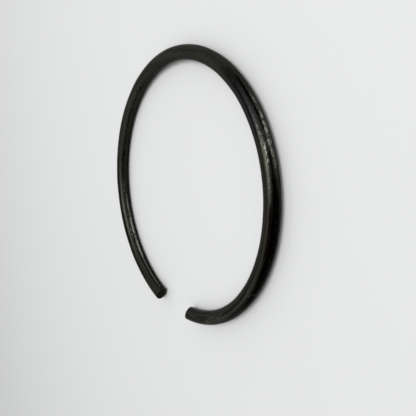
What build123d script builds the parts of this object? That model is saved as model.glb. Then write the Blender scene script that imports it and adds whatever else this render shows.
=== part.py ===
from build123d import *
import os
from math import cos, degrees, radians, sin, tan

# Sizes are in millimetres and degrees. Angles are counted from +X towards +Y, and the gap faces -Y.
bar_diameter = 12.0
ring_radius = 112.0         # of the bar's centre line, round the long arc
tail_radius = 106.9         # of the centre line where the bar is rolled tighter
tail_start_angle = -14.8    # where the long arc passes into the tail
tail_span_angle = 65.2      # of the tail, about its own centre
near_end_angle = 257.8      # where the long arc stops at the gap

# At the near end the inner and the upper side reach further into the gap.
near_cut_angle_in_plane = 1.5
near_cut_angle_axial = 0.5
near_edge_round = 1.1       # the mean of a rim that is sharp on one side and well rounded on the other
lip_height = 0.95           # metal that the shears pushed out past the bar's inner side
lip_length = 2.7

# At the tail's end the outer side and the underside reach further.
tail_cut_angle_in_plane = 21.0
tail_cut_angle_axial = 19.8
tail_edge_round = 0.5

bar_radius = bar_diameter / 2
spare_length = bar_radius   # bar left past each cut, so that a slanting cut meets solid bar
shear_width = 3 * bar_diameter
shear_depth = bar_diameter
up = Vector(0, 0, 1)


def direction(angle):
    return Vector(cos(radians(angle)), sin(radians(angle)), 0)


def section(angle, turn):
    """The plane across the bar where the long arc stands at this angle."""
    return Plane(origin=direction(angle) * ring_radius, x_dir=direction(angle), z_dir=direction(angle + turn))


# The tail's centre lies on the line from the ring's centre to where the tail begins.
tail_centre = direction(tail_start_angle) * (ring_radius - tail_radius)
tail_end_angle = tail_start_angle - tail_span_angle

# At each end, out points away from the ring's centre and ahead points along the bar into the gap.
near_out = direction(near_end_angle)
near_ahead = direction(near_end_angle + 90)
near_slant = near_out * tan(radians(near_cut_angle_in_plane)) - up * tan(radians(near_cut_angle_axial))
near_cut = Plane(origin=near_out * ring_radius, x_dir=up, z_dir=near_ahead + near_slant)

tail_out = direction(tail_end_angle)
tail_ahead = direction(tail_end_angle - 90)
tail_slant = up * tan(radians(tail_cut_angle_axial)) - tail_out * tan(radians(tail_cut_angle_in_plane))
tail_cut = Plane(origin=tail_centre + tail_out * tail_radius, x_dir=up, z_dir=tail_ahead + tail_slant)

# The lip grows from nothing to its full height at the cut, and on through the spare bar.
lip_start_angle = near_end_angle - degrees(lip_length / ring_radius)
lip_spare_angle = near_end_angle + degrees(spare_length / ring_radius)
lip_spare_height = lip_height * (lip_length + spare_length) / lip_length

with BuildPart() as lock_ring:
    # The long arc is the bar's round section turned about the ring's axis.
    with BuildSketch(section(tail_start_angle, 90)):
        Circle(bar_radius)
    revolve(axis=Axis.Z, revolution_arc=lip_start_angle - tail_start_angle)

    # The tail turns the other way about its own centre, so the two arcs meet without a corner.
    with BuildSketch(section(tail_start_angle, -90)):
        Circle(bar_radius)
    revolve(axis=Axis(tail_centre, -up), revolution_arc=tail_span_angle + degrees(spare_length / tail_radius))

    # The last stretch of the long arc widens on its inner side only, into the lip.
    with BuildSketch(section(lip_start_angle, 90)):
        Circle(bar_radius)
    with BuildSketch(section(lip_spare_angle, 90)):
        with Locations((-lip_spare_height / 2, 0)):
            Ellipse(bar_radius + lip_spare_height / 2, bar_radius)
    loft()

    # Both ends are sheared off at a slant.
    with Locations(near_cut, tail_cut):
        Box(shear_width, shear_width, shear_depth,
            align=(Align.CENTER, Align.CENTER, Align.MIN), mode=Mode.SUBTRACT)

    end_faces = lock_ring.faces().filter_by(GeomType.PLANE).sort_by(Axis.X)
    fillet(end_faces[0].edges(), radius=near_edge_round)
    end_faces = lock_ring.faces().filter_by(GeomType.PLANE).sort_by(Axis.X)
    fillet(end_faces[-1].edges(), radius=tail_edge_round)

lock_ring.part.label = "lock_ring"

os.makedirs("parts", exist_ok=True)
export_step(lock_ring.part, "parts/lock_ring.step")
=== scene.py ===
import bpy
import bmesh
import numpy as np
from math import cos, pi, radians, sin, tan
from mathutils import Matrix, Vector


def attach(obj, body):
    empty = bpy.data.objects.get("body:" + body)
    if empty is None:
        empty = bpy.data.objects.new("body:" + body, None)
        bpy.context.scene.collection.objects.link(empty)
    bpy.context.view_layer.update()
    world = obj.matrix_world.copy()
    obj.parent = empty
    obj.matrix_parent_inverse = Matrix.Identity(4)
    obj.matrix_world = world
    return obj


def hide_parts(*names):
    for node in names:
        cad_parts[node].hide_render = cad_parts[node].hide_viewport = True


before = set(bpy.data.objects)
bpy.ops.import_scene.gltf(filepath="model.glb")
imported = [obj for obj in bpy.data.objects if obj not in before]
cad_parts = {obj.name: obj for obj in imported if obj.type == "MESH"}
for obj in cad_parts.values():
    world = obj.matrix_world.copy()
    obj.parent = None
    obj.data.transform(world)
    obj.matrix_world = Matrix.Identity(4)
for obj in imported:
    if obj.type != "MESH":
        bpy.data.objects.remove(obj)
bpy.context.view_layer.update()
print("frame loaded")


def startPiece():
    if bpy.context.object and bpy.context.object.mode != "OBJECT":
        bpy.ops.object.mode_set(mode="OBJECT")
    bpy.ops.object.select_all(action="DESELECT")


# Camera: looks down on the lying ring, rolled so that the gap is at the bottom of the picture
cameraSettings = {
    "place": (0.289615, 0.078727, 0.187809),
    "turn": 108.816,      # degrees about Z
    "tilt": 54.212,       # 0 looks straight down
    "roll": -98.199,
    "lens": 35.365,
    "sensor": 36,
    "nearest": 0.01,      # what the camera sees starts and ends here
    "farthest": 60,
}

cameraTurn = Matrix.Rotation(radians(cameraSettings["turn"]), 4, "Z")
cameraTilt = Matrix.Rotation(radians(cameraSettings["tilt"]), 4, "X")
cameraRoll = Matrix.Rotation(radians(cameraSettings["roll"]), 4, "Z")
startPiece()
bpy.ops.object.camera_add(location=cameraSettings["place"])
camera = bpy.context.object
camera.name = "photoCamera"
camera.rotation_euler = (cameraTurn @ cameraTilt @ cameraRoll).to_euler()
camera.data.sensor_width = cameraSettings["sensor"]
camera.data.lens = cameraSettings["lens"]
camera.data.clip_start = cameraSettings["nearest"]
camera.data.clip_end = cameraSettings["farthest"]
bpy.context.scene.camera = camera
print("camera placed")


# Floor, a wide pale table under the ring
floorSettings = {
    "size": 40,
    "height": -0.006,
    "color": (0.62, 0.62, 0.617, 1),
    "roughness": 0.75,
    "specular": 0.2,
}

startPiece()
bpy.ops.mesh.primitive_plane_add(size=floorSettings["size"], location=(0, 0, floorSettings["height"]))
floor = bpy.context.object
floor.name = "paleFloor"
floorMaterial = bpy.data.materials.new("paleFloor")
floorMaterial.use_nodes = True
floorShader = floorMaterial.node_tree.nodes["Principled BSDF"]
floorShader.inputs["Base Color"].default_value = floorSettings["color"]
floorShader.inputs["Roughness"].default_value = floorSettings["roughness"]
floorShader.inputs["Specular IOR Level"].default_value = floorSettings["specular"]
floor.data.materials.append(floorMaterial)


# One large soft light over the ring. Azimuth counts from +X towards +Y.
softboxSettings = {
    "azimuth": 48,
    "elevation": 70,
    "distance": 1.7,
    "width": 0.9,
    "length": 0.66,
    "power": 14.5,
}

azimuth = radians(softboxSettings["azimuth"])
elevation = radians(softboxSettings["elevation"])
away = Vector((cos(azimuth) * cos(elevation), sin(azimuth) * cos(elevation), sin(elevation)))
startPiece()
bpy.ops.object.light_add(type="AREA", location=away * softboxSettings["distance"])
softbox = bpy.context.object
softbox.name = "keySoftbox"
softbox.rotation_euler = away.to_track_quat("Z", "Y").to_euler()
softbox.data.shape = "RECTANGLE"
softbox.data.size = softboxSettings["width"]
softbox.data.size_y = softboxSettings["length"]
softbox.data.energy = softboxSettings["power"]
bpy.context.scene.view_settings.view_transform = "Standard"


# World: a soft white dome that is dim towards one low side, seen by the camera as plain pale paper
worldSettings = {
    "dome": (0.92, 0.93, 0.94, 1),
    "dimSide": (0.02, 0.02, 0.02, 1),
    "dimAzimuth": -38,
    "dimLow": 0.25,       # sine of the height at which the dim side starts to brighten
    "dimHigh": 0.75,      # and at which it is as bright as the dome
    "dimMiddle": 0.9,     # cosine of the angle from the dim azimuth inside which it is dimmest
    "dimEdge": 0.1,       # and past which it is as bright as the dome
    "paper": (0.55, 0.555, 0.555, 1),
}

world = bpy.data.worlds.new("studioRoom")
bpy.context.scene.world = world
world.use_nodes = True
room = world.node_tree
room.nodes.clear()
roomCoordinate = room.nodes.new("ShaderNodeTexCoord")
roomSplit = room.nodes.new("ShaderNodeSeparateXYZ")
roomHigh = room.nodes.new("ShaderNodeMapRange")
roomHigh.inputs["From Min"].default_value = worldSettings["dimLow"]
roomHigh.inputs["From Max"].default_value = worldSettings["dimHigh"]
roomToSide = room.nodes.new("ShaderNodeVectorMath")
roomToSide.operation = "DOT_PRODUCT"
dimAzimuth = radians(worldSettings["dimAzimuth"])
roomToSide.inputs[1].default_value = (cos(dimAzimuth), sin(dimAzimuth), 0)
roomSide = room.nodes.new("ShaderNodeMapRange")
roomSide.inputs["From Min"].default_value = worldSettings["dimMiddle"]
roomSide.inputs["From Max"].default_value = worldSettings["dimEdge"]
roomShare = room.nodes.new("ShaderNodeMath")
roomShare.operation = "MAXIMUM"
roomColor = room.nodes.new("ShaderNodeMix")
roomColor.data_type = "RGBA"
# a Mix node's colours are its inputs 6 and 7 and its output 2
roomColor.inputs[6].default_value = worldSettings["dimSide"]
roomColor.inputs[7].default_value = worldSettings["dome"]
roomLight = room.nodes.new("ShaderNodeBackground")
roomPaper = room.nodes.new("ShaderNodeBackground")
roomPaper.inputs["Color"].default_value = worldSettings["paper"]
roomPath = room.nodes.new("ShaderNodeLightPath")
roomMix = room.nodes.new("ShaderNodeMixShader")
roomOutput = room.nodes.new("ShaderNodeOutputWorld")
room.links.new(roomCoordinate.outputs["Generated"], roomSplit.inputs["Vector"])
room.links.new(roomCoordinate.outputs["Generated"], roomToSide.inputs[0])
room.links.new(roomSplit.outputs["Z"], roomHigh.inputs["Value"])
room.links.new(roomToSide.outputs["Value"], roomSide.inputs["Value"])
room.links.new(roomHigh.outputs["Result"], roomShare.inputs[0])
room.links.new(roomSide.outputs["Result"], roomShare.inputs[1])
room.links.new(roomShare.outputs["Value"], roomColor.inputs["Factor"])
room.links.new(roomColor.outputs[2], roomLight.inputs["Color"])
room.links.new(roomPath.outputs["Is Camera Ray"], roomMix.inputs["Fac"])
room.links.new(roomLight.outputs["Background"], roomMix.inputs[1])
room.links.new(roomPaper.outputs["Background"], roomMix.inputs[2])
room.links.new(roomMix.outputs["Shader"], roomOutput.inputs["Surface"])
print("floor and lights made")


# The bar, in metres and degrees, as in the CAD. It is drawn from the tail's end round to the near end.
barSettings = {
    "barRadius": 0.006,
    "ringRadius": 0.112,
    "tailRadius": 0.1069,
    "tailStart": -14.8,
    "tailSpan": 65.2,
    "nearEnd": 257.8,
    "sides": 72,
    "spinStep": 0.0028,       # along the bar, between two loops as spun
    "spinCuts": 4,            # further loops cut between them
    "lastStep": 0.0034,       # beside each end, room for the rounded rim
    "rimRound": 0.0018,
    "rimSegments": 8,
    "insets": 8,              # rings on each end face
    "spunEdges": (0.8, 1.12),     # in spin steps: an edge between these lengths runs along the bar
    "mergeDistance": 0.00001,
    "tailSpare": 8,           # degrees past the tail's end that still count as the tail
    "onFaceDepth": 0.0001,    # a point no deeper than this lies on an end face
    "slack": 0.001,           # share by which a rim is taken too large, so that its border belongs to it
    "smoothAngle": 50,
}
barRadius = barSettings["barRadius"]
ringRadius = barSettings["ringRadius"]
tailRadius = barSettings["tailRadius"]
tailStart = radians(barSettings["tailStart"])
tailEnd = tailStart - radians(barSettings["tailSpan"])
nearEnd = radians(barSettings["nearEnd"])
tailCentre = Vector((cos(tailStart), sin(tailStart), 0)) * (ringRadius - tailRadius)
tailPlace = tailCentre + Vector((cos(tailEnd), sin(tailEnd), 0)) * tailRadius
nearPlace = Vector((cos(nearEnd), sin(nearEnd), 0)) * ringRadius
tailLength = radians(barSettings["tailSpan"]) * tailRadius
arcLength = (nearEnd - tailStart) * ringRadius
barLength = tailLength + arcLength


def spinOn(centre, radius, length, steps=1):
    # carries the selected loop on along the bar
    bpy.ops.mesh.spin(steps=steps, angle=-length / radius, center=centre, axis=(0, 0, 1), dupli=False)


def closeEnd(bar, place):
    # fills the open loop at an end, rounds its rim and rings the face down to its middle
    mesh = bmesh.from_edit_mesh(bar.data)
    for edge in mesh.edges:
        edge.select_set(edge.is_boundary and (edge.verts[0].co - place).length < 2 * barRadius)
    bmesh.update_edit_mesh(bar.data)
    bpy.ops.mesh.edge_face_add()
    bpy.ops.mesh.bevel(offset=barSettings["rimRound"], segments=barSettings["rimSegments"], affect="EDGES")
    mesh = bmesh.from_edit_mesh(bar.data)
    for face in mesh.faces:
        face.select_set(len(face.verts) > 4)
    bmesh.update_edit_mesh(bar.data)
    for ring in range(barSettings["insets"]):
        bpy.ops.mesh.inset(thickness=(barRadius - barSettings["rimRound"]) / (barSettings["insets"] + 1))
    bpy.ops.mesh.poke()


startPiece()
bpy.ops.mesh.primitive_circle_add(
    vertices=barSettings["sides"], radius=barRadius, location=tailPlace, rotation=(radians(90), 0, tailEnd))
bar = bpy.context.object
bar.name = "lockRingBar"
bpy.ops.object.transform_apply(location=True, rotation=True, scale=True)
bpy.ops.object.mode_set(mode="EDIT")
bpy.ops.mesh.select_mode(type="EDGE")
bpy.ops.mesh.select_all(action="SELECT")
lastStep = barSettings["lastStep"]
spinStep = barSettings["spinStep"]
spinOn(tailCentre, tailRadius, lastStep)
spinOn(tailCentre, tailRadius, tailLength - lastStep, round(tailLength / spinStep))
spinOn((0, 0, 0), ringRadius, arcLength - lastStep, round(arcLength / spinStep))
spinOn((0, 0, 0), ringRadius, lastStep)
shortest, longest = barSettings["spunEdges"]
mesh = bmesh.from_edit_mesh(bar.data)
for edge in mesh.edges:
    edge.select_set(shortest < edge.calc_length() / spinStep < longest)
bmesh.update_edit_mesh(bar.data)
bpy.ops.mesh.subdivide(number_cuts=barSettings["spinCuts"])
closeEnd(bar, tailPlace)
closeEnd(bar, nearPlace)
bpy.ops.mesh.select_all(action="SELECT")
bpy.ops.mesh.remove_doubles(threshold=barSettings["mergeDistance"])
bpy.ops.mesh.normals_make_consistent(inside=False)
bpy.ops.object.mode_set(mode="OBJECT")
print("bar spun,", len(bar.data.vertices), "vertices")


def barCoordinates(points):
    # how far along the bar each point lies, and how far out and up from the centre line
    fromTail = points - np.array(tailCentre)
    angle = np.arctan2(fromTail[:, 1], fromTail[:, 0])
    inTail = (angle <= tailStart) & (angle > tailEnd - radians(barSettings["tailSpare"]))
    along = np.where(inTail, (angle - tailEnd) * tailRadius, 0.0)
    offset = np.where(inTail, np.hypot(fromTail[:, 0], fromTail[:, 1]) - tailRadius, 0.0)
    angle = np.arctan2(points[:, 1], points[:, 0])
    angle = np.where(angle < tailStart, angle + 2 * pi, angle)
    along = np.where(inTail, along, tailLength + (angle - tailStart) * ringRadius)
    offset = np.where(inTail, offset, np.hypot(points[:, 0], points[:, 1]) - ringRadius)
    return along, offset, points[:, 2]


def barPoints(along, offset, height):
    # the points that have these places along the bar and round its centre line
    inTail = along <= tailLength
    angle = np.where(inTail, tailEnd + along / tailRadius, tailStart + (along - tailLength) / ringRadius)
    reach = np.where(inTail, tailRadius, ringRadius) + offset
    centreX = np.where(inTail, tailCentre.x, 0.0)
    centreY = np.where(inTail, tailCentre.y, 0.0)
    return np.column_stack((centreX + reach * np.cos(angle), centreY + reach * np.sin(angle), height))


def smoothStep(value, low, high):
    # 0 up to the low value, 1 from the high one, and soft between them
    share = np.clip((value - low) / (high - low), 0, 1)
    return share * share * (3 - 2 * share)


# The shears left both end faces slanting, and pushed a lip out past the bar's inner side at the near end
endSettings = {
    "nearSlants": (0.5, 1.5),     # degrees, across the ring's plane and in it
    "tailSlants": (19.8, 21.0),
    "slantReach": 0.009,          # length over which a slant dies out along the bar
    "lipHeight": 0.00095,
    "lipLength": 0.0027,
    "nearRounds": (0.0003, 0.0018, 300),    # the rim's smallest and largest rounding, and the largest's side
    "tailRounds": (0.0003, 0.0008, 20),
    "roundFade": (30, 130),       # degrees from that side, over which the rounding shrinks
    "ringSide": 275,              # where a smooth ring of the near face is left round the torn part
    "ringSideFade": (50, 100),
    "shadedRimSide": 280,             # where the rounding past that ring is painted black, as painted shade
    "shadedRimSideFade": (60, 115),
    "faceDepth": 0.00040,         # of the torn part of each face
    "tearHeight": 0.00016,        # of the torn part's own roughness
    "tearRipples": (19, 30, (0, 1), (1, 9)),    # seed, number, waves to a metre, waves round the bar
    "tearRings": 3100,            # radians to a metre outwards
}

# Places on a face and its rim: 0 is the face's middle, 1 the rim's start and 2 its end
facePlaces = {
    "offFace": 2,                 # any point that isn't on a face
    "faceEdge": (0.99, 1.01),
    "tornEdge": (0.90, 0.99),
    "shadedTornRimEdge": (1.2, 1.6),    # how far the torn face's finish, painted shade there, reaches onto the sharp side's rim
    "ringEdge": (1.01, 1.12),
    "shadedRimEdge": (1.03, 1.15),
    "shadedRimEnd": (1.2, 2.2),       # this one in roundings from the face
}

spunPoints = np.zeros(len(bar.data.vertices) * 3)
bar.data.vertices.foreach_get("co", spunPoints)
along, offset, height = barCoordinates(spunPoints.reshape(-1, 3))
around = np.degrees(np.arctan2(height, offset))    # 0 on the outer side, 90 on top, 180 on the inner side
reach = np.hypot(offset, height)


def roundBy(first, second):
    # the angle between two places round the bar
    return np.abs((first - second + 180) % 360 - 180)


def nearSide(side, fade):
    # 1 on one side of the bar and 0 away from it
    return 1 - smoothStep(roundBy(around, side), *fade)


def rimRounding(smallest, largest, side):
    # the rounding of an end's rim, which is largest on one side
    return smallest + (largest - smallest) * nearSide(side, endSettings["roundFade"])


# The bevel rounded both rims alike. Each side of a rim takes its own rounding here.
fullRound = barSettings["rimRound"]
slack = barSettings["slack"]
atNear = along > barLength / 2
rounding = np.where(atNear, rimRounding(*endSettings["nearRounds"]), rimRounding(*endSettings["tailRounds"]))
fromEnd = np.where(atNear, barLength - along, along)
onRim = (fromEnd < fullRound * (1 + slack)) & (reach > (barRadius - fullRound) * (1 - slack))
rimDepth = np.where(onRim, rounding + (fromEnd - fullRound) * rounding / fullRound, fromEnd)
rimReach = barRadius - rounding + (reach - barRadius + fullRound) * rounding / fullRound
flatReach = reach * (barRadius - rounding) / (barRadius - fullRound)
onFlat = (fromEnd < barSettings["onFaceDepth"]) & ~onRim
rimReach = np.where(onRim, rimReach, np.where(onFlat, flatReach, reach))
stretch = rimReach / reach.clip(1e-9)    # a face's middle point has no reach
offset = offset * stretch
height = height * stretch
reach = rimReach
fromEnd = rimDepth
along = np.where(atNear, barLength - fromEnd, fromEnd)

# Each face is torn almost out to its rim. At the near end, the torn face's finish, painted dark there as
# painted shade, is carried onto the sharp side's rim, and the rounded side has a smooth ring round the torn
# part.
faceReach = reach / (barRadius - rounding)
faceShare = np.where(fromEnd < barSettings["onFaceDepth"], faceReach, facePlaces["offFace"])
onFace = 1 - smoothStep(faceShare, *facePlaces["faceEdge"])
rimTurn = np.arccos(1 - np.clip(fromEnd / rounding, 0, 1)) / radians(90)
fromMiddle = np.where(onRim, 1 + rimTurn, faceShare)
torn = 1 - smoothStep(fromMiddle, *facePlaces["tornEdge"])
ringSide = atNear * nearSide(endSettings["ringSide"], endSettings["ringSideFade"])
smoothRing = ringSide * (1 - torn - smoothStep(fromMiddle, *facePlaces["ringEdge"]))
shadedTornRim = atNear * (1 - ringSide) * (1 - smoothStep(fromMiddle, *facePlaces["shadedTornRimEdge"]))
# past the smooth ring, the rounded side of the near rim is painted black as painted shade
shadedRimSide = atNear * nearSide(endSettings["shadedRimSide"], endSettings["shadedRimSideFade"])
pastRing = smoothStep(fromMiddle, *facePlaces["shadedRimEdge"])
shadedRim = shadedRimSide * pastRing * (1 - smoothStep(fromEnd / rounding, *facePlaces["shadedRimEnd"]))


def paintOn(name, values):
    # keeps a number, or three, for each point, which the material reads
    kind, slot = ("FLOAT_VECTOR", "vector") if values.ndim == 2 else ("FLOAT", "value")
    attribute = bar.data.attributes.new(name, kind, "POINT")
    attribute.data.foreach_set(slot, values.astype(np.float32).ravel())


def degreesAlong(angle):
    # how far along the bar an angle about its own centre lies
    if angle <= barSettings["tailStart"]:
        return (radians(angle) - tailEnd) * tailRadius
    return tailLength + (radians(angle) - tailStart) * ringRadius


def markBand(start, stop, firstSide, lastSide, width, fade):
    # 1 on a band that runs along the bar from one angle and side to another, and 0 off it, with soft edges
    share = (along - degreesAlong(start)) / (degreesAlong(stop) - degreesAlong(start))
    side = firstSide + (lastSide - firstSide) * np.clip(share, 0, 1)
    across = 1 - smoothStep(roundBy(around, side), width * coverSettings["bandCore"], width)
    first = smoothStep(along, degreesAlong(start) - fade, degreesAlong(start) + fade)
    last = smoothStep(along, degreesAlong(stop) - fade, degreesAlong(stop) + fade)
    return across * (first - last)


def paintBands(bands):
    # where bands cross, the stronger one shows
    total = np.zeros(len(along))
    for start, stop, firstSide, lastSide, width, fade, strength in bands:
        total = np.maximum(total, strength * markBand(start, stop, firstSide, lastSide, width, fade))
    return total


def paintSpots(spots):
    # round or oval spots with soft edges, which add up
    total = np.zeros(len(along))
    for angle, side, length, width, strength in spots:
        pastAlong = (along - degreesAlong(angle)) / length
        pastRound = np.radians(roundBy(around, side)) * barRadius / width
        total += strength * np.exp(-pastAlong ** 2 - pastRound ** 2)
    return total


def paintScratches(scratches):
    # thin lines that run straight from each place on the bar to the next
    total = np.zeros(len(along))
    for width, strength, turns in scratches:
        for (angle, side), (nextAngle, nextSide) in zip(turns, turns[1:]):
            runAlong = degreesAlong(nextAngle) - degreesAlong(angle)
            runRound = radians(nextSide - side) * barRadius
            pastAlong = along - degreesAlong(angle)
            pastRound = np.radians((around - side + 180) % 360 - 180) * barRadius
            share = (pastAlong * runAlong + pastRound * runRound) / (runAlong ** 2 + runRound ** 2)
            share = np.clip(share, 0, 1)
            span = np.hypot(pastAlong - share * runAlong, pastRound - share * runRound)
            total = np.maximum(total, strength * np.exp(-(span / width) ** 2))
    return total


def ripples(seed, count, alongWaves, aroundWaves):
    # a sum of soft waves that closes round the bar, from ranges of waves to a metre and of waves round it
    draw = np.random.default_rng(seed)
    total = np.zeros(len(along))
    for wave in range(count):
        lengthwise = draw.uniform(*alongWaves)
        roundwise = draw.integers(aroundWaves[0], aroundWaves[1] + 1)
        sense = draw.choice((-1, 1))
        start = draw.uniform(0, 2 * pi)
        total += np.sin(2 * pi * lengthwise * along + sense * roundwise * np.radians(around) + start)
    return total / np.sqrt(count)


# How soft the marks below are, and how they cover one another
coverSettings = {
    "bandCore": 0.4,          # share of a band's half width that is at full strength
    "scaleAndShadeOverWear": 0.9,     # share of the wear, and of the rust, that full scale and painted shade hide
    "scaleAndShadeOverRust": 0.5,
    "blackPit": 0.00016,      # a pit of this depth is black all over
}

# Each band has its first and last angle along the bar, its side at the first and at the last, in degrees,
# its half width in degrees round the bar, the fade at its ends in metres, and its strength.

# Where rollers and other parts have rubbed the oxide down to pale metal
# Where the oxide is painted pale: partly rubbed down to pale metal by rollers and other parts, and partly
# painted highlights along the bar and on the near rim's edge
rubbedAndHighlightBands = (
    (194, 208, 180, 180, 10, 0.0040, 0.42),
    (196, 232, 193, 193, 12, 0.0060, 0.36),
    (184, 228, 159, 158, 11, 0.0060, 0.33),
    (207.8, 217.8, 180, 180, 10, 0.0028, 1.00),
    (216, 223, 180, 180, 8, 0.0010, 0.66),
    (221.2, 233, 180, 180, 9, 0.0020, 1.00),
    (232, 254, 180, 180, 7, 0.0060, 0.80),
    (18, 26, -4, 8, 19, 0.0040, 0.46),
    (24, 35, 6, 7, 19, 0.0060, 0.50),
    (33, 45, 7, 13, 17, 0.0060, 0.44),
    (20, 30, 46, 45, 10, 0.0035, 0.34),
    (5, 16.5, 66, 64, 6, 0.0030, 0.36),
    (120, 160, 355, 350, 18, 0.0150, 0.40),
    (60, 105, 185, 182, 14, 0.0150, 0.45),
    (256.9, 258.6, 118, 118, 65, 0.0008, 0.24),
    (-60, 20, 268, 272, 20, 0.0200, 0.35),
    (90, 200, 266, 262, 16, 0.0300, 0.35),
)

# Where handling has burnished the oxide, so that it is smoother and a little paler
wornBands = (
    (5, 24, 66, 61, 7, 0.0040, 0.58),
    (19, 33, 55, 53, 18, 0.0040, 0.36),
    (33, 47, 56, 62, 14, 0.0060, 0.30),
    (23, 32, 28, 28, 12, 0.0040, 0.40),
    (16, 45, -4, 9, 20, 0.0040, 0.60),
    (34, 47, 7, 13, 17, 0.0060, 0.60),
    (182, 200, 146, 145, 20, 0.0120, 0.40),
    (198, 224, 148, 146, 20, 0.0100, 0.18),
    (108, 172, 138, 142, 42, 0.0120, 0.38),
    (131, 162, 140, 151, 33, 0.0120, 0.78),
    (-64, -44, 62, 66, 26, 0.0050, 0.85),
    (-47, -18, 69, 70, 15, 0.0080, 0.72),
    (-80, -66, 184, 176, 24, 0.0040, 0.50),
    (-58, -46, 96, 92, 12, 0.0060, 0.40),
    (-20, 6, 71, 72, 11, 0.0060, 0.30),
    (250, 256, 100, 120, 60, 0.0040, 0.25),
)

# Where the oxide is painted near black: partly thicker, blacker scale that has stayed on, and partly painted
# shade and painted dark reflections that set where the highlights end
scaleAndShadeBands = (
    (-52, -30, 38, 34, 24, 0.0200, 0.42),
    (-38, -16, 28, 28, 27, 0.0180, 0.85),
    (-24, -6, 31, 26, 42, 0.0160, 1.05),
    (-13, 7, 23, 22, 44, 0.0120, 1.12),
    (0, 12, 18, 22, 34, 0.0060, 1.12),
    (8, 17, 21, 27, 22, 0.0060, 1.05),
    (-13, 8, 53, 55, 17, 0.0060, 0.90),
    (-62, -52, 90, 89, 6, 0.0060, 0.50),
    (14, 31, 88, 83, 7, 0.0080, 0.55),
    (28, 54, 79, 75, 9, 0.0080, 0.75),
    (38, 54, 58, 56, 30, 0.0080, 0.35),
    (186, 246, 105, 104, 17, 0.0120, 0.60),
    (201, 224, 108, 108, 21, 0.0060, 0.75),
    (194, 220, 131, 131, 18, 0.0060, 0.34),
    (16, 24.5, 27, 30, 10, 0.0020, 0.80),
    (24.5, 31, 31, 30, 6, 0.0020, 0.42),
    (31, 36, 27, 29, 9, 0.0020, 0.90),
    (36, 42, 28, 33, 11, 0.0020, 1.05),
    (41, 54, 34, 33, 12, 0.0040, 1.05),
    (46, 62, 60, 60, 50, 0.0120, 0.60),
    (-54, -26, 89, 88, 7, 0.0100, 0.85),
    (-30, -10, 88, 88, 6, 0.0100, 0.50),
    (-14, 52, 88, 82, 9, 0.0100, 0.45),
    (-77, -70, 123, 118, 6, 0.0020, 0.60),
    (-70, -60, 116, 105, 6, 0.0020, 0.55),
    (-59.5, -53.3, 80, 86, 5, 0.0010, 0.45),
    (-47, -24, 55, 55, 5, 0.0060, 0.55),
    (-80, -60, 110, 112, 60, 0.0080, 0.42),
    (-80, -74, 20, 30, 30, 0.0020, 0.40),
    (171, 187, 174, 177, 46, 0.0050, 0.40),
    (168.5, 172.5, 170, 168, 12, 0.0015, 0.60),
    (173, 189, 103, 102, 14, 0.0040, 0.80),
    (220, 254, 164, 163, 8, 0.0050, 0.85),
    (226, 256, 200, 198, 11, 0.0060, 0.70),
    (160, 200, 196, 198, 14, 0.0100, 0.45),
    (134, 158, 186, 188, 18, 0.0100, 0.35),
    (255.5, 258, 190, 190, 50, 0.0010, 0.35),
    (200, 240, 20, 30, 40, 0.0200, 0.60),
    (30, 90, 300, 310, 40, 0.0300, 0.60),
    (-50, -10, 230, 240, 35, 0.0200, 0.50),
)

# Where a thin brown bloom of rust shows through
rustedBands = (
    (151, 166, 184, 188, 26, 0.0060, 0.60),
    (232, 252, 186, 184, 36, 0.0080, 0.50),
    (236, 253, 208, 210, 20, 0.0080, 0.60),
    (-24, 14, 66, 70, 24, 0.0100, 0.42),
    (-14, 8, 49, 53, 13, 0.0060, 0.60),
    (42, 52, 24, 24, 10, 0.0040, 0.45),
    (0, 15, 30, 26, 20, 0.0060, 0.50),
    (-62, -53, 45, 60, 26, 0.0040, 0.40),
    (-46, -34, 104, 110, 20, 0.0080, 0.35),
    (60, 95, 240, 260, 50, 0.0200, 0.60),
    (205, 235, 300, 320, 40, 0.0200, 0.50),
)

# Where the oxide has a cooler, bluish cast
bluedBands = (
    (31, 54, 60, 66, 26, 0.0080, 0.90),
    (-66, -30, 24, 34, 24, 0.0120, 0.70),
    (-79, -66, 184, 180, 36, 0.0060, 0.70),
    (30, 60, 110, 110, 40, 0.0200, 0.50),
    (-40, -12, 10, 14, 20, 0.0100, 0.50),
    (100, 122, 120, 130, 60, 0.0100, 0.50),
)

# Small bright spots, partly rubbed metal and partly painted glints in the highlights: angle along the bar,
# side, half length, half width and strength
flecks = (
    (33.6, 12, 0.0012, 0.0007, 0.60),
    (31.6, 14, 0.0014, 0.0007, 0.60),
    (30.2, 12, 0.0009, 0.0007, 0.50),
    (27.4, 21, 0.0010, 0.0008, 0.60),
    (26.4, 17, 0.0008, 0.0009, 0.55),
    (24.6, 8, 0.0009, 0.0007, 0.35),
    (36.0, 9, 0.0010, 0.0007, 0.35),
    (33.1, 61, 0.0012, 0.0006, 0.22),
    (30.8, 65, 0.0010, 0.0006, 0.28),
    (29.3, 60, 0.0008, 0.0007, 0.20),
    (28.2, 52, 0.0009, 0.0008, 0.20),
    (25.4, 50, 0.0011, 0.0007, 0.25),
    (26.9, 64, 0.0010, 0.0006, 0.20),
    (23.2, 58, 0.0012, 0.0007, 0.22),
    (22.0, 47, 0.0011, 0.0006, 0.20),
    (20.8, 62, 0.0010, 0.0006, 0.18),
    (209.5, 180, 0.0016, 0.0006, 0.45),
    (225.0, 180, 0.0020, 0.0006, 0.50),
    (191.0, 140, 0.0014, 0.0008, 0.20),
    (199.0, 143, 0.0016, 0.0008, 0.20),
)

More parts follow.
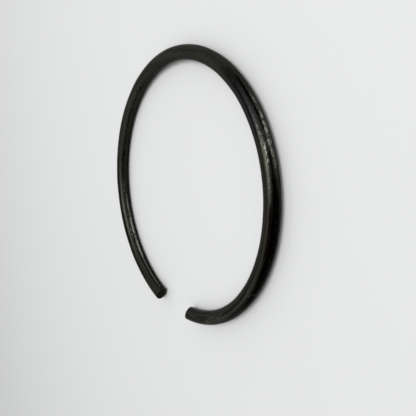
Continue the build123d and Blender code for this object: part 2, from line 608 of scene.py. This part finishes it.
# Scratches through the oxide: half width, strength, then the angles and sides that each runs through
scratches = (
    (0.00040, 0.50, ((-27.2, -2), (-26.9, 20), (-28.0, 45), (-29.4, 68))),
    (0.00050, 0.52, ((-64.6, 36), (-62.8, 62), (-60.8, 82), (-58.8, 93), (-56.3, 96), (-53.4, 91),
                     (-51.9, 85))),
    (0.00050, 0.52, ((-56.0, 20), (-53.4, 42), (-52.2, 64), (-51.9, 84), (-50.0, 96), (-48.4, 99))),
    (0.00045, 0.44, ((-77.5, 119), (-73.7, 112), (-68.4, 102))),
    (0.00050, 0.40, ((-76.5, 131), (-73.7, 127), (-67.5, 123.5), (-61.2, 120), (-57.5, 117), (-54.0, 113))),
    (0.00080, 0.35, ((-77.0, 190), (-73.0, 188), (-70.0, 187))),
    (0.00025, 0.40, ((29.6, 44), (30.2, 70))),
    (0.00025, 0.35, ((25.8, 50), (26.6, 66))),
    (0.00025, 0.35, ((33.2, 2), (33.9, 18))),
    (0.00025, 0.35, ((30.5, 4), (29.9, 20))),
    (0.00030, 0.25, ((100.0, 60), (104.0, 96))),
    (0.00030, 0.25, ((212.0, 70), (209.0, 104))),
    (0.00030, 0.25, ((66.0, 120), (80.0, 128))),
)

# Pits and dents: angle along the bar, side, half length, half width and depth
pits = (
    (128.6, 152, 0.0024, 0.0010, 0.00022),
    (132.0, 139, 0.0013, 0.0009, 0.00020),
    (131.5, 131, 0.0013, 0.0009, 0.00016),
    (122.0, 132, 0.0010, 0.0009, 0.00014),
    (143.6, 172, 0.0007, 0.0013, 0.00018),
    (170.8, 169, 0.0010, 0.0013, 0.00020),
    (171.9, 153, 0.0008, 0.0011, 0.00016),
    (174.2, 152, 0.0009, 0.0010, 0.00016),
    (182.5, 106, 0.0022, 0.0009, 0.00014),
    (176.0, 215, 0.0010, 0.0008, 0.00018),
    (186.5, 212, 0.0009, 0.0009, 0.00018),
    (199.0, 214, 0.0010, 0.0008, 0.00015),
    (219.8, 180, 0.0014, 0.0010, 0.00014),
    (205.0, 178, 0.0006, 0.0010, 0.00010),
    (18.4, 57, 0.0008, 0.0008, 0.00010),
    (24.3, 62, 0.0008, 0.0009, 0.00012),
    (26.6, 55, 0.0008, 0.0010, 0.00012),
    (29.9, 56, 0.0009, 0.0010, 0.00016),
    (31.8, 55, 0.0008, 0.0012, 0.00012),
    (28.9, 14, 0.0008, 0.0009, 0.00012),
    (32.7, 9, 0.0008, 0.0010, 0.00018),
    (25.4, 13, 0.0008, 0.0010, 0.00012),
    (35.0, 15, 0.0008, 0.0010, 0.00010),
    (131.0, 350, 0.0012, 0.0012, 0.00016),
    (75.0, 300, 0.0014, 0.0014, 0.00016),
    (92.0, 95, 0.0012, 0.0010, 0.00014),
    (218.0, 20, 0.0013, 0.0011, 0.00016),
    (140.0, 268, 0.0014, 0.0012, 0.00014),
)

scratched = paintScratches(scratches)
scaleAndShade = paintBands(scaleAndShadeBands)
wearLeft = (1 - coverSettings["scaleAndShadeOverWear"] * scaleAndShade).clip(0)
worn = paintBands(wornBands) * wearLeft
rubbedAndHighlight = paintBands(rubbedAndHighlightBands) * wearLeft + paintSpots(flecks)
pitted = paintSpots(pits)
# pits are black, and the near rim's painted shade goes into the same mask
scaleAndShade = np.maximum(np.maximum(scaleAndShade, np.clip(pitted / coverSettings["blackPit"], 0, 1)), shadedRim)
rusted = paintBands(rustedBands) * (1 - coverSettings["scaleAndShadeOverRust"] * scaleAndShade).clip(0)

# The torn faces are rusty near the middle, and painted darker towards one side as painted shade
tornSettings = {
    "rustMiddle": (0.0005, 0.0012),    # out and up
    "rustNarrowing": 1.8,              # the rusty spot is this many times as high as it is wide
    "rustFade": (0.0002, 0.0038),
    "rustStrength": 0.8,
    "shadedFaceSide": 110,
    "shadedFaceFade": (0.0018, 0.0042),      # metres from the middle towards the painted shade
}

rustOut, rustUp = tornSettings["rustMiddle"]
fromRust = np.hypot((offset - rustOut) * tornSettings["rustNarrowing"], height - rustUp)
faceRust = tornSettings["rustStrength"] * (1 - smoothStep(fromRust, *tornSettings["rustFade"]))
shadedFaceSide = radians(tornSettings["shadedFaceSide"])
towardsShadedFace = height * sin(shadedFaceSide) + offset * cos(shadedFaceSide)

paintOn("barCoordinates", np.column_stack((along, offset, height)))
paintOn("rubbedAndHighlight", rubbedAndHighlight)
paintOn("worn", worn)
paintOn("rusted", np.where(faceShare > 1, rusted, faceRust))
paintOn("scaleAndShade", scaleAndShade)
paintOn("blued", paintBands(bluedBands))
paintOn("tornFace", np.maximum(torn, shadedTornRim))
paintOn("tornPale", 1 - smoothStep(towardsShadedFace, *tornSettings["shadedFaceFade"]))
paintOn("smoothRing", smoothRing)
paintOn("scratched", scratched)

# Marks in the skin, which all go inwards: long waves and flats from rolling, small dimples, and pits
skinSettings = {
    "waves": (3, 10, (4, 38), (0, 4)),    # seed, number, waves to a metre, waves round the bar
    "lines": (7, 12, (2, 20), (5, 14)),
    "dimples": (11, 40, (90, 420), (3, 16)),
    "waveDepth": 0.000045,
    "lineDepth": 0.000022,
    "dimpleDepth": 0.000016,
    "wornDimpleDepth": 0.000030,    # added where the oxide is worn
    "scratchDepth": 0.000060,
    "waveSink": 1.6,                # how far the skin is sunk, in depths of the mark, to keep it inwards
    "lineSink": 1.8,
    "dimpleSink": 1.8,
}

waves = skinSettings["waveSink"] + ripples(*skinSettings["waves"])
lines = skinSettings["lineSink"] + ripples(*skinSettings["lines"])
dimples = skinSettings["dimpleSink"] + ripples(*skinSettings["dimples"])
depth = skinSettings["waveDepth"] * waves + skinSettings["lineDepth"] * lines
depth += (skinSettings["dimpleDepth"] + skinSettings["wornDimpleDepth"] * worn) * dimples
depth += pitted + skinSettings["scratchDepth"] * scratched
shrink = 1 - np.clip(depth, 0, None) * (1 - onFace) / barRadius
offset, height = offset * shrink, height * shrink

rings = np.sin(reach * endSettings["tearRings"] + np.radians(around))
tear = endSettings["tearHeight"] * ripples(*endSettings["tearRipples"]) * rings
sink = torn * (endSettings["faceDepth"] + tear)
along = along + np.where(atNear, -sink, sink)


def slantBy(axial, inPlane):
    # how far a sheared face leans along the bar at each point
    return height * tan(radians(axial)) - offset * tan(radians(inPlane))


nearShare = smoothStep(along, barLength - endSettings["slantReach"], barLength)
tailShare = 1 - smoothStep(along, 0, endSettings["slantReach"])
lean = nearShare * slantBy(*endSettings["nearSlants"]) + tailShare * slantBy(*endSettings["tailSlants"])
lip = endSettings["lipHeight"] * np.clip((along - barLength) / endSettings["lipLength"] + 1, 0, 1)
offset = offset - lip / 2 * (1 - offset / barRadius)
along = along + lean

bar.data.vertices.foreach_set("co", barPoints(along, offset, height).ravel())
bar.data.update()
startPiece()
bar.select_set(True)
bpy.context.view_layer.objects.active = bar
bpy.ops.object.shade_smooth_by_angle(angle=radians(barSettings["smoothAngle"]))
print("bar shaped")


# Dark oxide steel, lightly oiled, with lengthwise lines from the drawing, rubbed streaks, and painted
# highlights and painted shade along the bar
steelSettings = {
    "oxideDark": (0.0135, 0.0137, 0.0107, 1),
    "oxidePale": (0.0335, 0.0345, 0.0270, 1),
    # the scale colour is also the colour of the painted shade and painted dark reflections
    "scale": (0.0014, 0.0013, 0.0012, 1),
    "worn": (0.0380, 0.0376, 0.0330, 1),
    "rubbedAndHighlightDark": (0.150, 0.149, 0.135, 1),
    "rubbedAndHighlightPale": (0.400, 0.397, 0.361, 1),
    "blued": (0.0215, 0.0240, 0.0262, 1),
    "scratch": (0.0900, 0.0900, 0.0820, 1),
    "tornDark": (0.0022, 0.0025, 0.0018, 1),
    "tornPale": (0.0180, 0.0155, 0.0115, 1),
    "tornRust": (0.0190, 0.0094, 0.0062, 1),
    "ring": (0.1400, 0.1400, 0.1280, 1),
    "rust": (0.0260, 0.0135, 0.0080, 1),
    "edgeTint": (0.56, 0.56, 0.55, 1),
    "specular": 0.06,
}

# Noises on the bar's own coordinates: cells a metre along, out and up, then detail and roughness
grainSettings = {
    "drawnLines": ((16, 620, 620), 4, 0.6),
    "fineLines": ((45, 2600, 2600), 3, 0.6),
    "mottle": ((640, 760, 760), 5, 0.55),
    "grain": ((3200, 3200, 3200), 3, 0.55),
    "patches": ((24, 210, 210), 3, 0.55),
}

# The strength at which each painted mask starts to show, and that at which it covers all
maskSettings = {
    "blued": (0.10, 1.10),
    "scaleAndShade": (0.10, 0.95),
    "worn": (0.15, 0.90),
    "rubbedAndHighlight": (0.20, 0.95),
    "rusted": (0.15, 1.10),
    "scratched": (0.12, 0.75),
    "tornFace": (0.15, 0.85),
    "lineBreak": 0.715,           # how far the noises break up a mask's soft edge
    "mottleBreak": 1.21,
    "bluedShare": 0.8,            # of the blued colour, where its mask covers all
}

# How the noises mix two tones: the range of noise that is used, and the share of each noise
toneSettings = {
    "range": (0.36, 0.64),
    "mottleRange": (0.34, 0.66),
    "tearRange": (0.30, 0.66),
    "oxideLines": 0.4,
    "oxidePatches": 0.3,
    "oxideMottle": 0.3,
    "metalLines": 0.4,
    "metalMottle": 0.6,
}

# Roughness as the noises go from low to high, and what wear and tearing change
glossSettings = {
    "range": (0.3, 0.7),
    "lines": (0.25, 0.37),
    "mottle": (-0.03, 0.05),
    "wornPolish": 0.07,
    "tornRoughness": 0.30,
    "tornDullness": 0.85,         # share of the metallic look that a torn face loses
}

# Height of each noise's fine relief, in metres
reliefSettings = {
    "drawnLines": 0.00004,
    "fineLines": 0.000008,
    "mottle": 0.000055,
    "wornMottle": 0.00012,
    "grain": 0.000004,
}

steel = bpy.data.materials.new("darkOxideSteel")
steel.use_nodes = True
steelTree = steel.node_tree
steelShader = steelTree.nodes["Principled BSDF"]
steelShader.inputs["Specular Tint"].default_value = steelSettings["edgeTint"]
steelShader.inputs["Specular IOR Level"].default_value = steelSettings["specular"]


def addNode(kind, **values):
    # a node of the steel, with these of its own values set
    node = steelTree.nodes.new(kind)
    for name, value in values.items():
        setattr(node, name, value)
    return node


def link(output, target):
    steelTree.links.new(output, target)


def painted(name):
    # a mask that paintOn kept
    return addNode("ShaderNodeAttribute", attribute_name=name).outputs["Fac"]


def stretchedNoise(scale, detail, roughness):
    # a noise that is drawn out along the bar
    mapping = addNode("ShaderNodeMapping")
    mapping.inputs["Scale"].default_value = scale
    link(barPlace.outputs["Vector"], mapping.inputs["Vector"])
    texture = addNode("ShaderNodeTexNoise")
    texture.inputs["Scale"].default_value = 1
    texture.inputs["Detail"].default_value = detail
    texture.inputs["Roughness"].default_value = roughness
    link(mapping.outputs["Vector"], texture.inputs["Vector"])
    return texture.outputs["Fac"]


def ranged(value, fromLow, fromHigh, toLow=0, toHigh=1):
    # carries one range over to another, softly at both ends
    node = addNode("ShaderNodeMapRange", interpolation_type="SMOOTHSTEP")
    node.inputs["From Min"].default_value = fromLow
    node.inputs["From Max"].default_value = fromHigh
    node.inputs["To Min"].default_value = toLow
    node.inputs["To Max"].default_value = toHigh
    link(value, node.inputs["Value"])
    return node.outputs["Result"]


def mixColor(share, first, second):
    # goes from the first colour to the second as the share goes from 0 to 1
    node = addNode("ShaderNodeMix", data_type="RGBA")
    link(share, node.inputs["Factor"])
    for slot, color in (("A", first), ("B", second)):
        socket = [entry for entry in node.inputs if entry.name == slot and entry.type == "RGBA"][0]
        if isinstance(color, tuple):
            socket.default_value = color
        else:
            link(color, socket)
    return [entry for entry in node.outputs if entry.type == "RGBA"][0]


def combine(operation, first, second):
    # one sum with two values, each of them a number or a node's output
    node = addNode("ShaderNodeMath", operation=operation)
    for slot, value in enumerate((first, second)):
        if isinstance(value, (int, float)):
            node.inputs[slot].default_value = value
        else:
            link(value, node.inputs[slot])
    return node.outputs["Value"]


def bumped(height, distance, before=None):
    # one relief on top of another
    node = addNode("ShaderNodeBump")
    node.inputs["Strength"].default_value = 1
    node.inputs["Distance"].default_value = distance
    link(height, node.inputs["Height"])
    if before:
        link(before, node.inputs["Normal"])
    return node.outputs["Normal"]


def centred(noise, share):
    # makes a noise swing about nothing, instead of about a half
    return combine("MULTIPLY", combine("SUBTRACT", noise, 0.5), share)


def roughened(name):
    # breaks the soft edge of a painted mask into streaks and specks
    return ranged(combine("ADD", painted(name), breakUp), *maskSettings[name])


barPlace = addNode("ShaderNodeAttribute", attribute_name="barCoordinates")
drawnLines = stretchedNoise(*grainSettings["drawnLines"])
fineLines = stretchedNoise(*grainSettings["fineLines"])
mottle = stretchedNoise(*grainSettings["mottle"])
grain = stretchedNoise(*grainSettings["grain"])
patches = stretchedNoise(*grainSettings["patches"])
breakUp = combine("ADD", centred(drawnLines, maskSettings["lineBreak"]),
                  centred(mottle, maskSettings["mottleBreak"]))

# The oxide, then what lies over it, from the lowest to the highest
oxideTone = combine("ADD", ranged(drawnLines, *toneSettings["range"], 0, toneSettings["oxideLines"]),
                    ranged(patches, *toneSettings["range"], 0, toneSettings["oxidePatches"]))
oxideMottle = ranged(mottle, *toneSettings["mottleRange"], 0, toneSettings["oxideMottle"])
oxideTone = combine("ADD", oxideTone, oxideMottle)
oxideColor = mixColor(oxideTone, steelSettings["oxideDark"], steelSettings["oxidePale"])
bluedShare = combine("MULTIPLY", roughened("blued"), maskSettings["bluedShare"])
bluedColor = mixColor(bluedShare, oxideColor, steelSettings["blued"])
scaleAndShadeColor = mixColor(roughened("scaleAndShade"), bluedColor, steelSettings["scale"])
wornShare = roughened("worn")
wornColor = mixColor(wornShare, scaleAndShadeColor, steelSettings["worn"])
metalTone = combine("ADD", ranged(fineLines, *toneSettings["range"], 0, toneSettings["metalLines"]),
                    ranged(mottle, *toneSettings["range"], 0, toneSettings["metalMottle"]))
paleMetalAndHighlightColor = mixColor(metalTone, steelSettings["rubbedAndHighlightDark"], steelSettings["rubbedAndHighlightPale"])
rubbedAndHighlightColor = mixColor(roughened("rubbedAndHighlight"), wornColor, paleMetalAndHighlightColor)
rustShare = roughened("rusted")
rustColor = mixColor(rustShare, rubbedAndHighlightColor, steelSettings["rust"])
scratchColor = mixColor(roughened("scratched"), rustColor, steelSettings["scratch"])
ringColor = mixColor(painted("smoothRing"), scratchColor, steelSettings["ring"])

# The torn part of each face
tornShare = ranged(painted("tornFace"), *maskSettings["tornFace"])
# towards the shaded side the torn colour stays at its dark end, as painted shade
tearShare = combine("MULTIPLY", ranged(mottle, *toneSettings["tearRange"]), painted("tornPale"))
tearColor = mixColor(tearShare, steelSettings["tornDark"], steelSettings["tornPale"])
tornColor = mixColor(rustShare, tearColor, steelSettings["tornRust"])
link(mixColor(tornShare, ringColor, tornColor), steelShader.inputs["Base Color"])

roughness = combine("ADD", ranged(drawnLines, *glossSettings["range"], *glossSettings["lines"]),
                    ranged(mottle, *glossSettings["range"], *glossSettings["mottle"]))
roughness = combine("SUBTRACT", roughness, combine("MULTIPLY", wornShare, glossSettings["wornPolish"]))
roughness = combine("ADD", roughness, combine("MULTIPLY", tornShare, glossSettings["tornRoughness"]))
link(roughness, steelShader.inputs["Roughness"])
dullness = combine("MULTIPLY", tornShare, glossSettings["tornDullness"])
link(combine("SUBTRACT", 1, dullness), steelShader.inputs["Metallic"])

relief = bumped(drawnLines, reliefSettings["drawnLines"])
relief = bumped(fineLines, reliefSettings["fineLines"], relief)
relief = bumped(mottle, reliefSettings["mottle"], relief)
relief = bumped(combine("MULTIPLY", mottle, painted("worn")), reliefSettings["wornMottle"], relief)
relief = bumped(grain, reliefSettings["grain"], relief)
link(relief, steelShader.inputs["Normal"])
bar.data.materials.append(steel)
print("steel made")

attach(bar, "root")
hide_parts("lock_ring")
